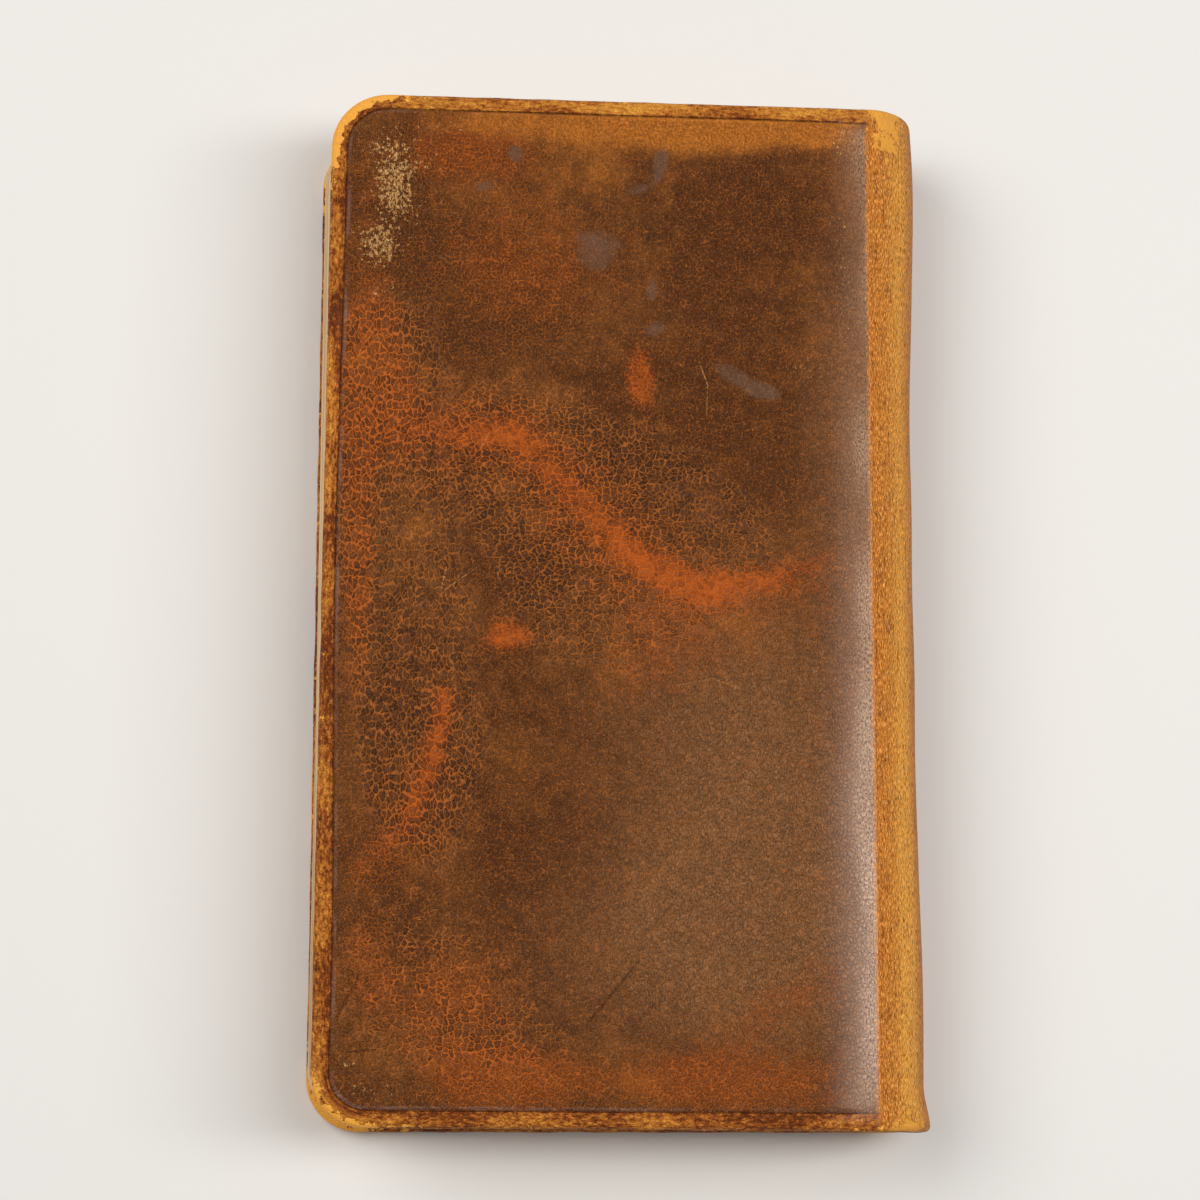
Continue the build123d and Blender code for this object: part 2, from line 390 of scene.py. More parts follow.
# Where the back cover is rubbed, stained and scored. u runs from its fore-edge, v from its tail.
backMarks = {
    "streak": [(10, 119, 4, 0.3), (22, 117, 3.6, 0.6), (32, 117, 3.6, 0.95), (38, 112, 3.6, 0.6),
               (46, 102.5, 4.2, 0.7), (54, 95.5, 3.4, 1.0), (62, 91, 3.6, 0.95), (66, 90.5, 3.8, 1.05),
               (76, 92.5, 2.8, 0.75), (86, 95.5, 2.6, 0.3)],
    "streakHalo": [(6, 120, 11, 0.55), (33, 116, 10, 0.65), (47, 101, 11, 0.6), (62, 86, 12, 0.75),
                   (84, 92, 8, 0.35)],
    "lowerStreak": [(21, 72, 1.6, 0.8), (20.5, 66, 2.4, 0.75), (18, 57, 2.4, 0.75),
                    (15.5, 50, 2.6, 0.5), (8, 42, 3, 0.4)],
    "ovals": [(31.5, 82, 4.2, 3.0, 5, 0.85), (54, 127.5, 2.6, 6.2, 6, 0.75)],
    "warm": [(8, 131, 6, 16, 6, 0.95), (6, 95, 3.2, 26, 0, 0.75), (34, 148, 15, 13, 0, 0.6),
             (26, 168, 14, 8, 0, 0.6), (16, 52, 9, 14, -20, 0.45), (20, 18, 13, 9, -20, 0.55),
             (32, 8, 13, 6, 0, 1.0), (68, 8, 22, 5.5, 0, 0.95), (78, 21, 14, 4, 30, 0.6),
             (9, 28, 5, 8, 0, 0.5), (27, 25, 10, 8, -30, 0.35), (52, 77, 8, 6, 0, 0.3),
             (6, 160, 3, 10, 0, 0.35), (84, 133, 8, 3, 20, 0.3), (20, 168, 10, 4, 0, 0.3)],
    "tan": [(60, 173.5, 32, 5.0, 0, 1.0), (26, 173, 14, 3.6, 0, 0.35), (48, 163, 22, 7, 0, 0.25),
            (84, 173, 8, 2.5, 0, 0.4)],
    "dark": [(66, 113, 16, 13, 0, 0.9), (24, 139, 13, 11, 20, 0.95), (76, 152, 15, 14, 0, 0.6),
             (15, 155, 8, 14, 0, 0.7), (47, 131, 12, 8, 0, 0.35), (34, 98, 9, 9, 0, 0.5),
             (26, 62, 5, 9, 0, 0.3), (37, 45, 9, 20, 20, 0.55), (10, 62, 4, 14, 0, 0.4),
             (57, 72, 12, 7, 30, 0.4), (12, 34, 6, 7, 0, 0.4), (62, 150, 10, 10, 0, 0.4)],
    "pale": [(76, 52, 26, 40, 10, 1.0), (60, 30, 24, 16, 0, 0.6), (88, 120, 7, 30, 0, 0.5)],
    "grey": [(32, 167.5, 1.7, 2.2, 0, 1.0), (26.8, 161.5, 3.2, 1.5, 15, 0.8),
             (57.5, 166.5, 1.8, 3.6, -10, 1.0), (53.5, 161.5, 3.6, 1.6, 25, 0.8),
             (46.5, 150, 6.5, 4.6, 30, 0.8), (56, 143.5, 1.7, 3.2, -10, 0.85),
             (56.5, 136.5, 3.6, 2.2, 20, 0.75), (70, 128.5, 5.6, 2.3, -28, 0.85),
             (76, 125.5, 3.6, 2.0, -10, 0.85), (42, 155, 5, 4, 0, 0.35), (62, 69, 6, 4, 0, 0.25)],
    "cream": [(9.5, 168, 5.5, 1.5, 4, 0.62), (13, 165, 7, 2.4, 4, 0.4), (12, 171, 7, 2, 0, 0.35),
              (10.5, 160.5, 3.6, 5.2, 8, 0.66), (8.3, 150.5, 3.6, 4.6, 10, 0.74),
              (9.5, 142, 4.5, 2.2, -8, 0.4), (14, 156, 5, 9, 0, 0.28), (21, 173, 3, 3, 0, 0.32),
              (90, 171.5, 3.4, 3.6, 0, 0.42), (84, 131, 6, 4, 20, 0.26), (90, 152, 2, 16, 0, 0.3),
              (9, 6, 9, 2.5, 0, 0.3), (5.5, 10.5, 3, 1.5, 0, 0.36)],
    "coarse": [(38, 112, 34, 14, -20, 1.0), (52, 98, 26, 16, -10, 1.0), (18, 24, 20, 18, 0, 0.62),
               (46, 84, 18, 12, 0, 0.6), (8, 128, 8, 18, 0, 0.8), (38, 14, 20, 8, 0, 0.45)],
    "long": [(10, 116, 13, 34, 0, 1.0), (16, 78, 13, 30, 0, 0.8), (60, 104, 14, 10, 0, 0.5),
             (18, 58, 10, 18, 0, 0.8)],
    "dents": [(5.5, 21, 1.3, 2.6, -25, 0.35), (46, 52, 9, 7, 0, 0.08), (30, 140, 12, 9, 0, 0.1),
              (97.6, 13, 0.5, 0.7, 0, 0.5)],
}


def sumOf(spots, u, v):
    total = np.zeros_like(u)
    for spot in spots:
        total += blob(u, v, spot)
    return total


def paintHide(flat, under, along):
    # Masks that the leather's material reads, worked out over the flat hide
    s, y = flat[:, 0], flat[:, 1]
    run = hide["spineRun"]
    back = smooth(1.0, -1.0, s)
    front = smooth(run - 1.0, run + 1.0, s)
    spine = 1 - back - front
    u, v = s - sLow, y + halfHeight
    inFrom = edgeDistance(s, y)
    offLine = np.clip(inFrom - lineInset(s, y), -9, 2.5)

    marks = backMarks
    orange = np.maximum(ribbon(u, v, marks["streak"]), ribbon(u, v, marks["lowerStreak"]))
    orange = np.maximum(orange, sumOf(marks["ovals"], u, v))
    warm = ribbon(u, v, marks["streakHalo"]) + sumOf(marks["warm"], u, v)
    dark, pale, tan, grey, cream, coarse, longGrain = (
        sumOf(marks[kind], u, v) for kind in ("dark", "pale", "tan", "grey", "cream", "coarse", "long"))

    # The front cover and the spine have their own plain rubs and darker clouds
    frontOrange = np.clip(ripple(s, y, 41, 60) - 0.75, 0, 1) * 1.6
    frontWarm = np.clip(ripple(s, y, 42, 45), 0, 1) * 0.9
    frontDark = np.clip(ripple(s, y, 43, 55), 0, 1) * 0.8
    orange = back * orange + front * frontOrange
    warm = back * warm + front * frontWarm + spine * 0.3
    spineDark = hump(s, run / 2, 6) * (0.7 + 0.2 * ripple(s, y, 44, 40))
    dark = back * dark + front * frontDark + spine * spineDark
    pale = back * pale + front * 0.4
    tan = back * tan
    grey = back * grey + front * np.clip(ripple(s, y, 45, 24) - 1.0, 0, 1)
    cream = back * cream + front * np.clip(ripple(s, y, 46, 20) - 1.15, 0, 1) * 0.7
    coarse = back * coarse + front * np.clip(ripple(s, y, 47, 50) + 0.3, 0, 1)
    longGrain = back * longGrain + front * np.clip(ripple(s, y, 48, 60), 0, 1) + spine

    # Wear: bare at the round corners and along the rims, and on the ridges beside the bends
    rim = smooth(2.6, -0.2, inFrom)
    cornerHead = hump(np.hypot(s - (sLow + 3.5), y - (halfHeight - 3.5)), 0, 10)
    cornerTail = hump(np.hypot(s - (sLow + 3), y + halfHeight - 3), 0, 9)
    otherCorners = hump(np.hypot(s - (sHigh - 3), np.abs(y) - halfHeight + 3), 0, 9)
    capHead = hump(np.hypot((s - 4.2) / 4.2, (y - 85) / 8.0), 0, 1)
    capTail = hump(np.hypot((s - 6) / 6, (y + 87) / 5.0), 0, 1)
    lowCaps = hump(np.hypot((s - run + 5) / 5, (np.abs(y) - 86) / 7.0), 0, 1)
    broad = smooth(3.0, 1.1, inFrom)
    wear = rim * 0.34 + broad * (0.8 * cornerHead + 0.2 * cornerTail + 0.3 * otherCorners)
    wear += rim * (0.22 * cornerTail + 0.3 * otherCorners)
    wear += 0.05 * ripple(s, y, 51, 17) * rim
    wear = wear + (0.75 * capHead + 0.45 * capTail + 0.5 * lowCaps)
    wear = np.clip(wear, 0, 1)

    # The joints' worn ribbons run along the ridge past each bend
    ribbonUp = smooth(-1.5, 1.1, s)
    ribbonLow = smooth(run + 1.5, run - 1.1, s)
    ribbonUp = np.where(s < run / 2, ribbonUp, 0.0)
    ribbonLow = np.where(s < run / 2, 0.0, ribbonLow)
    ridge = (hump(s, 6.8, 2.6) + hump(s, run - 6.8, 2.6)) * (0.8 + 0.6 * smooth(30, -60, y))
    jointBand = np.clip(ribbonUp + ribbonLow, 0, 1)
    outside = smooth(0.15, -0.15, offLine) * (1 - spine)
    fleshSide = np.clip(under * 1.5, 0, 1)

    tint = np.stack([orange, np.clip(warm, 0, 1.2), np.clip(dark, 0, 1), np.clip(pale, 0, 1)], -1)
    spot = np.stack([grey, cream, np.clip(tan, 0, 1), np.clip(coarse, 0, 1)], -1)
    worn = np.stack([wear, jointBand, np.clip(ridge, 0, 1), np.clip(longGrain, 0, 1)], -1)
    # Buffed by hands on the covers' last centimetre and a half before the bends, most at the tail; in colour
    # this mask is a painted sheen, and it also sets the coat's gloss
    bend = np.where(s < run / 2, -s, s - run)
    polishAndSheen = smooth(14.0, 0.4, bend) ** 1.8 * smooth(-0.5, 0.1, bend) * (0.9 + 0.12 * ripple(s, y, 52, 14))
    polishAndSheen = polishAndSheen * (1 - 0.18 * smooth(-30, 50, y)) * smooth(89.5, 84.0, np.abs(y))
    seat = np.stack([outside, np.clip(polishAndSheen, 0, 1), fleshSide, spine], -1)
    grainPlace = np.stack([s, y, np.zeros_like(s)], -1)
    rimPlace = np.stack([offLine, along, np.zeros_like(s)], -1)
    return {"grainPlace": grainPlace, "rimPlace": rimPlace, "tint": tint, "spot": spot,
            "worn": worn, "seat": seat}


def liftHide(flat, depth, under):
    # Height over the smooth wrap: crowned face, rolled joints, tooled line, dents, unevenness
    s, y = flat[:, 0], flat[:, 1]
    run = hide["spineRun"]
    onFace = smooth(0.6, 0.0, depth)
    back = smooth(1.0, -1.0, s) * onFace
    u, v = s - sLow, y + halfHeight
    bend = np.minimum(np.abs(s), np.abs(s - run))
    covers = (s < 0) | (s > run)
    past = np.where(s < run / 2, s, run - s)  # how far past the nearer bend, on the spine's side
    groove = hide["grooveDepth"] * hump(past, hide["grooveAt"], hide["grooveHalf"])
    reach = np.where(covers, hide["rollLength"], 2.0)
    roll = hide["rollDepth"] * np.exp(-((bend / reach) ** 2))
    inFrom = edgeDistance(s, y)
    offLine = inFrom - lineInset(s, y)
    fade = np.where(covers, smooth(2.0, 7.0, bend), 0.0)
    line = fade * (-hide["lineDepth"] * hump(offLine, 0, 0.24) + 0.05 * hump(np.abs(offLine), 0.6, 0.3))
    crown = hide["faceCrown"] * np.clip(1 - ((u - 44) / 50) ** 2, 0, 1) * np.clip(1 - (y / 92) ** 4, 0, 1)
    lift = -(groove + roll) * onFace + line
    lift += back * (crown + 0.05 * ripple(s, y, 61, 26) - 0.03)
    lift += back * (0.13 * ribbon(u, v, backMarks["streak"]) + 0.06 * ribbon(u, v, backMarks["lowerStreak"]))
    lift -= back * sumOf(backMarks["dents"], u, v)
    lift += np.where(s > run, -0.05 + 0.05 * ripple(s, y, 62, 30), 0.0) * onFace * fade
    spine = smooth(1, 5, s) * smooth(run - 1, run - 5, s)
    lift += spine * onFace * (0.12 * ripple(s, y / 2, 63, 11) - 0.05)
    edge = smooth(0.3, 1.2, depth) * (1 - np.clip(under * 8, 0, 1))
    lift += edge * 0.07 * ripple(s, y, 64, 7)
    return lift


hideMasks = paintHide(hideFlat, hideUnder, hideAlong)
hideOuter = hidePoints + hideOut * liftHide(hideFlat, hideDepth, hideUnder)[:, None]
hideInner = hidePoints - hideOut * (
    book["leather"] + (hide["turnInThickness"] - book["leather"]) * smooth(0, 0.2, hideUnder)
)[:, None]


def cutPiece(name, keep):
    # The part of the hide whose quads are kept, given its inner face and a rim all round
    chosen = hideFaces[keep[hideFaces].all(axis=1)]
    used, local = np.unique(chosen, return_inverse=True)
    local = local.reshape(chosen.shape)
    count = len(used)
    starts = np.concatenate([local[:, [k, (k + 1) % 4]] for k in range(4)])
    key = np.minimum(starts[:, 0], starts[:, 1]).astype(np.int64) * count + starts.max(axis=1)
    _, first, times = np.unique(key, return_index=True, return_counts=True)
    rim = starts[first[times == 1]]
    sides = np.stack([rim[:, 1], rim[:, 0], rim[:, 0] + count, rim[:, 1] + count], axis=-1)
    faces = np.vstack([local, local[:, ::-1] + count, sides])
    points = np.vstack([hideOuter[used], hideInner[used]])
    masks = {}
    for label, values in hideMasks.items():
        picked = values[used]
        inner = picked.copy()
        if label == "seat":
            inner[:, 2] = 1.0
        masks[label] = np.concatenate([picked, inner])
    return makePiece(name, points, faces, masks)


cutAt = hide["lip"]
cutLow = hide["spineRun"] - hide["lip"]
backCoverLeather = cutPiece("backCoverLeather", hideColumn <= cutAt + 1e-6)
spineLeather = cutPiece("spineLeather", (hideColumn >= cutAt - 1e-6) & (hideColumn <= cutLow + 1e-6))
frontCoverLeather = cutPiece("frontCoverLeather", hideColumn >= cutLow - 1e-6)


leaves = {
    "levels": 78,
    "backRows": 60,
    "ridge": 0.07,  # how unevenly the leaves are trimmed
    "kerfDepth": 1.75,
    "kerfHalf": 0.85,
    "shoulderHalf": 85.9,
    "slopeMore": 0.006,
}
cordPlaces = [-62.0, -62.0 / 3, 62.0 / 3, 62.0]


def backArc(z, inset):
    # x of the rounded back at height z: a circle through both bends and the crown
    half = halfThickness - inset
    bulge = book["bulge"] - inset
    radius = (half * half + bulge * bulge) / (2 * bulge)
    return jointX + book["hingeGap"] + bulge - radius + np.sqrt(radius ** 2 - (z - halfThickness) ** 2)


def leafLoop(z, foreX, half, corner, rng, rough):
    # One level's outline, anticlockwise from the tail end of the back
    backY = np.unique(np.concatenate(
        [np.linspace(-half, half, leaves["backRows"])]
        + [[c - leaves["kerfHalf"] - 0.02, c - leaves["kerfHalf"], c + leaves["kerfHalf"],
            c + leaves["kerfHalf"] + 0.02] for c in cordPlaces]))
    inKerf = sum(np.abs(backY - c) <= leaves["kerfHalf"] + 1e-6 for c in cordPlaces)
    backX = backArc(z, book["leavesInset"]) - inKerf * leaves["kerfDepth"] * rough
    back = np.stack([backX + 0 * backY, backY], -1)
    lean = (book["slump"] + back[:, 1] * slope) * leanFactor(z)
    back[:, 0] -= lean
    endX = back[-1, 0]
    startX = back[0, 0]
    turn = np.radians(np.linspace(0, 90, 9))
    headEdge = np.linspace(0, 1, 70)[1:-1]
    headSide = np.stack([endX + (foreX + corner - endX) * headEdge, half + 0 * headEdge], -1)
    headCorner = np.stack([foreX + corner - corner * np.sin(turn),
                           half - corner + corner * np.cos(turn)], -1)
    foreY = np.linspace(half - corner, -half + corner, 120)[1:-1]
    fore = np.stack([foreX + 0 * foreY, foreY], -1)
    tailCorner = np.stack([foreX + corner - corner * np.cos(turn),
                           -half + corner - corner * np.sin(turn)], -1)
    tailSide = np.stack([foreX + corner + (startX - foreX - corner) * headEdge, -half + 0 * headEdge], -1)
    loop = np.concatenate([back, headSide, headCorner, fore, tailCorner, tailSide])
    push = (rng.normal(0, leaves["ridge"], 3) * rough)
    isFore = (loop[:, 0] < foreX + corner + 1e-6)
    loop[:, 0] += np.where(isFore, push[0] - leaves["slopeMore"] * loop[:, 1] * leanFactor(z) * rough, 0)
    ends = np.abs(loop[:, 1]) > half - 0.01
    loop[:, 1] += np.where(ends, np.sign(loop[:, 1]) * (push[1] - 0.1) * rough, 0)
    return np.column_stack([loop, np.full(len(loop), z)])


def foreEdgeX(z):
    # The fore-edge leans from foot to top and is hollowed by a shallow arc
    upper = jointX - book["coverWidth"] + book["foreTop"]
    lower = jointX - book["coverWidth"] - book["slump"] + book["foreFoot"]
    t = (z - book["leavesFoot"]) / (book["leavesTop"] - book["leavesFoot"])
    return lower + (upper - lower) * t + book["foreHollow"] * (1 - (2 * t - 1) ** 2)


def buildLeaves():
    rng = np.random.default_rng(7)
    wall = jointX + book["hingeGap"]
    low, high = book["leavesInset"] + 0.03, book["thickness"] - book["leavesInset"] - 0.03
    foot, top = book["leavesFoot"], book["leavesTop"]
    half, corner = book["leafHalf"], book["leafCorner"]
    narrow = leaves["shoulderHalf"]
    loops = []
    for z in np.linspace(low, foot, 6):
        loops.append(leafLoop(z, wall - book["slump"] * leanFactor(z) - 0.42, narrow, 0.05, rng, 0))
    for z in np.linspace(foot, top, leaves["levels"]):
        loops.append(leafLoop(z, foreEdgeX(z), half, corner, rng, 1))
    for z in np.linspace(top, high, 6):
        loops.append(leafLoop(z, wall - 0.02, narrow, 0.05, rng, 0))
    rows, columns = len(loops), len(loops[0])
    points = np.concatenate(loops)
    faces = gridFaces(rows, columns, closeColumns=True)
    # close the two narrow ends with a middle point each
    first, last = loops[0].mean(0), loops[-1].mean(0)
    points = np.vstack([points, first, last])
    n = rows * columns
    ring = np.arange(columns)
    nextOne = (ring + 1) % columns
    capLow = np.stack([np.full(columns, n), nextOne, ring], -1)
    capHigh = np.stack([np.full(columns, n + 1), n - columns + ring, n - columns + nextOne], -1)
    return points, faces, np.vstack([capLow, capHigh])


leafPoints, leafQuads, leafCaps = buildLeaves()
leafBlock = makePiece("leafBlock", leafPoints, leafQuads, sharp=40, caps=leafCaps)


endband = {
    "radiusAcross": 0.93,
    "radiusUp": 0.83,
    "centreInset": 2.37,
    "threadPitch": 0.62,
    "threadHeight": 0.1,
    "stepsPerThread": 6,
    "around": 18,
    "trim": 0.06,
    "pastLeaves": 0.875,  # from the leaves' end to the middle of the roll
}


def buildEndband(name, sign):
    # An oval roll carried along the rounded back, swelling at each turn of the thread
    half = halfThickness - endband["centreInset"]
    bulge = book["bulge"] - endband["centreInset"]
    radius = (half * half + bulge * bulge) / (2 * bulge)
    sweep = math.asin(min(1.0, half / radius))
    length = 2 * sweep * radius
    turns = int(length / endband["threadPitch"])
    steps = turns * endband["stepsPerThread"]
    t = np.linspace(endband["trim"], 1 - endband["trim"], steps)
    angle = sweep * (1 - 2 * t)
    y = sign * (book["leafHalf"] + endband["pastLeaves"])
    z = halfThickness + radius * np.sin(angle)
    x = jointX + book["hingeGap"] + bulge - radius + radius * np.cos(angle)
    x = x - (book["slump"] + y * slope) * leanFactor(z)
    around = np.linspace(0, 2 * math.pi, endband["around"], endpoint=False)
    swell = endband["threadHeight"] * np.abs(np.sin(math.pi * t * length / endband["threadPitch"]))
    close = np.sqrt(np.clip(1 - ((t - 0.5) / (0.5 - endband["trim"])) ** 40, 0.02, 1))
    across = (endband["radiusAcross"] - endband["threadHeight"] + swell) * close
    up = (endband["radiusUp"] - endband["threadHeight"] + swell) * close
    ca, sa = np.cos(around)[None, :], np.sin(around)[None, :]
    px = x[:, None] + np.cos(angle)[:, None] * across[:, None] * ca
    pz = z[:, None] + np.sin(angle)[:, None] * across[:, None] * ca
    py = y + up[:, None] * sa
    points = np.stack([px, py + 0 * px, pz], -1).reshape(-1, 3)
    faces = gridFaces(steps, endband["around"], closeColumns=True)[:, ::-1]
    rolled = np.column_stack([np.repeat(t * length, endband["around"]),
                              np.tile(around, steps), np.zeros(steps * endband["around"])])
    n = len(points)
    ends = np.array([[x[0], y, z[0]], [x[-1], y, z[-1]]])
    points = np.vstack([points, ends])
    rolled = np.vstack([rolled, rolled[0], rolled[-1]])
    ring = np.arange(endband["around"])
    nextOne = (ring + 1) % endband["around"]
    caps = np.vstack([np.stack([np.full(len(ring), n), ring, nextOne], -1),
                      np.stack([np.full(len(ring), n + 1), n - len(ring) + nextOne,
                                n - len(ring) + ring], -1)])
    return makePiece(name, points, faces, {"threadPlace": rolled}, sharp=None, caps=caps)


headEndband = buildEndband("headEndband", 1)
tailEndband = buildEndband("tailEndband", -1)


def place(tree, kind, inputs=None, **settings):
    # One node, with its inputs linked or set
    made = tree.nodes.new(kind)
    for key, value in settings.items():
        setattr(made, key, value)
    for key, value in (inputs or {}).items():
        if isinstance(value, bpy.types.NodeSocket):
            tree.links.new(value, made.inputs[key])
        else:
            made.inputs[key].default_value = value
    return made


def math2(tree, operation, a, b=0.0, clamp=False):
    made = place(tree, "ShaderNodeMath", {0: a, 1: b}, operation=operation, use_clamp=clamp)
    return made.outputs[0]


def ramp(tree, value, low, high, outLow=0.0, outHigh=1.0):
    # A smooth step from low to high
    made = place(tree, "ShaderNodeMapRange", {"Value": value, "From Min": low, "From Max": high,
                                              "To Min": outLow, "To Max": outHigh},
                 interpolation_type="SMOOTHSTEP")
    return made.outputs["Result"]


def blendTo(tree, factor, first, second, mode="MIX"):
    made = place(tree, "ShaderNodeMix", {0: factor, 6: first, 7: second}, data_type="RGBA",
                 blend_type=mode)
    return made.outputs[2]


def blendNumber(tree, factor, first, second):
    made = place(tree, "ShaderNodeMix", {0: factor, 2: first, 3: second}, data_type="FLOAT")
    return made.outputs[0]


def rgb(red, green, blue):
    return (red, green, blue, 1.0)


def newGroup(name, inputs, outputs):
    # A node group with named sockets; inputs are (name, kind, value)
    tree = bpy.data.node_groups.new(name, "ShaderNodeTree")
    for label, kind, value in inputs:
        socket = tree.interface.new_socket(label, in_out="INPUT", socket_type=kind)
        if value is not None:
            socket.default_value = value
    for label, kind in outputs:
        tree.interface.new_socket(label, in_out="OUTPUT", socket_type=kind)
    return tree, tree.nodes.new("NodeGroupInput"), tree.nodes.new("NodeGroupOutput")


def useGroup(tree, group, inputs):
    return place(tree, "ShaderNodeGroup", inputs, node_tree=group).outputs


def vectorMath(tree, operation, inputs, output=0):
    return place(tree, "ShaderNodeVectorMath", inputs, operation=operation).outputs[output]


def stretched(tree, vector, x, y, z=1.0):
    # The vector times (x, y, z)
    return vectorMath(tree, "MULTIPLY", {0: vector, 1: (x, y, z)})


def noise(tree, vector, scale, detail=3.0, roughness=0.55, kind="2D", output="Fac"):
    made = place(tree, "ShaderNodeTexNoise", {"Vector": vector, "Scale": scale, "Detail": detail,
                                              "Roughness": roughness}, noise_dimensions=kind)
    return made.outputs[output]


def newMaterial(name):
    # An empty material and its tree
    made = bpy.data.materials.new(name)
    made.use_nodes = True
    made.node_tree.nodes.clear()
    return made, made.node_tree


def dullSurface(tree, colour, rough, height, distance):
    # An uncoated surface with its relief as a bump
    bump = place(tree, "ShaderNodeBump", {"Height": height, "Distance": distance})
    surface = place(tree, "ShaderNodeBsdfPrincipled", {"Base Color": colour, "Roughness": rough,
                                                       "Normal": bump.outputs["Normal"]})
    place(tree, "ShaderNodeOutputMaterial", {"Surface": surface.outputs[0]})


# Hide grain: cells between creases. Crease is one in the furrows, Cell a tone for each cell.
grainGroup, gIn, gOut = newGroup(
    "hideGrain",
    [("Vector", "NodeSocketVector", None), ("Across", "NodeSocketFloat", 1.0),
     ("Along", "NodeSocketFloat", 1.0), ("Crease Width", "NodeSocketFloat", 0.12)],
    [("Crease", "NodeSocketFloat"), ("Cell", "NodeSocketFloat"), ("Height", "NodeSocketFloat")])
warpFar = noise(grainGroup, gIn.outputs["Vector"], 0.35, 2.0, output="Color")
warpNear = noise(grainGroup, gIn.outputs["Vector"], 1.6, 2.0, output="Color")
bent = gIn.outputs["Vector"]
for warp, reach in ((warpFar, 1.8), (warpNear, 0.42)):
    swing = vectorMath(grainGroup, "ADD", {0: warp, 1: (-0.5, -0.5, -0.5)})
    bent = vectorMath(grainGroup, "MULTIPLY_ADD", {0: swing, 1: (reach, reach, 0), 2: bent})
perSize = place(grainGroup, "ShaderNodeCombineXYZ",
                {"X": math2(grainGroup, "DIVIDE", 1.0, gIn.outputs["Across"]),
                 "Y": math2(grainGroup, "DIVIDE", 1.0, gIn.outputs["Along"])}).outputs[0]
cellPlace = vectorMath(grainGroup, "MULTIPLY", {0: bent, 1: perSize})
toEdge, cellTone = (
    place(grainGroup, "ShaderNodeTexVoronoi", {"Vector": cellPlace, "Scale": 1.0, "Randomness": 0.9},
          feature=feature, voronoi_dimensions="2D").outputs[output]
    for feature, output in (("DISTANCE_TO_EDGE", "Distance"), ("F1", "Color")))
uneven = noise(grainGroup, gIn.outputs["Vector"], 2.4, 2.0)
widthHere = math2(grainGroup, "MULTIPLY", gIn.outputs["Crease Width"],
                  ramp(grainGroup, uneven, 0.3, 0.7, 0.65, 1.3))
creaseHere = ramp(grainGroup, toEdge, 0.0, widthHere, 1.0, 0.0)
domed = ramp(grainGroup, toEdge, 0.0, 0.32)
pores = noise(grainGroup, gIn.outputs["Vector"], 5.0, 2.0)
grainGroup.links.new(creaseHere, gOut.inputs["Crease"])
cellRed = place(grainGroup, "ShaderNodeSeparateColor", {0: cellTone}).outputs[0]
grainGroup.links.new(cellRed, gOut.inputs["Cell"])
relief = math2(grainGroup, "ADD", domed, math2(grainGroup, "MULTIPLY", pores, 0.35))
grainGroup.links.new(relief, gOut.inputs["Height"])

# Ragged mask: a soft mask broken into crisp flakes by noise
flakeGroup, fIn, fOut = newGroup(
    "raggedMask",
    [("Mask", "NodeSocketFloat", 0.5), ("Vector", "NodeSocketVector", None),
     ("Size", "NodeSocketFloat", 1.0), ("Spread", "NodeSocketFloat", 1.0),
     ("Softness", "NodeSocketFloat", 0.1)],
    [("Mask", "NodeSocketFloat")])
perFlake = math2(flakeGroup, "DIVIDE", 1.0, fIn.outputs["Size"])
flakePlace = vectorMath(flakeGroup, "SCALE", {0: fIn.outputs["Vector"], "Scale": perFlake})
flakes = noise(flakeGroup, flakePlace, 1.0, 4.0, 0.65)
broken = place(flakeGroup, "ShaderNodeMath",
               {0: math2(flakeGroup, "SUBTRACT", flakes, 0.5), 1: fIn.outputs["Spread"],
                2: fIn.outputs["Mask"]},
               operation="MULTIPLY_ADD").outputs[0]
upTo = math2(flakeGroup, "ADD", fIn.outputs["Softness"], 0.5)
flakeGroup.links.new(ramp(flakeGroup, broken, 0.5, upTo), fOut.inputs["Mask"])

# Score: distance to a straight line between two points, as a thin tapering mask
scoreGroup, sIn, sOut = newGroup(
    "scoreLine",
    [("Vector", "NodeSocketVector", None), ("From", "NodeSocketVector", (0, 0, 0)),
     ("To", "NodeSocketVector", (1, 0, 0)), ("Width", "NodeSocketFloat", 0.15)],
    [("Mask", "NodeSocketFloat")])
start, end = sIn.outputs["From"], sIn.outputs["To"]
alongLine = vectorMath(scoreGroup, "SUBTRACT", {0: end, 1: start})
fromStart = vectorMath(scoreGroup, "SUBTRACT", {0: sIn.outputs["Vector"], 1: start})
dotAlong = vectorMath(scoreGroup, "DOT_PRODUCT", {0: fromStart, 1: alongLine}, "Value")
dotSelf = vectorMath(scoreGroup, "DOT_PRODUCT", {0: alongLine, 1: alongLine}, "Value")
shareAlong = math2(scoreGroup, "DIVIDE", dotAlong, dotSelf, clamp=True)
nearest = vectorMath(scoreGroup, "SCALE", {0: alongLine, "Scale": shareAlong})
awayVector = vectorMath(scoreGroup, "SUBTRACT", {0: fromStart, 1: nearest})
awayFrom = vectorMath(scoreGroup, "LENGTH", {0: awayVector}, "Value")
scoreGroup.links.new(ramp(scoreGroup, awayFrom, 0.0, sIn.outputs["Width"], 1.0, 0.0), sOut.inputs["Mask"])


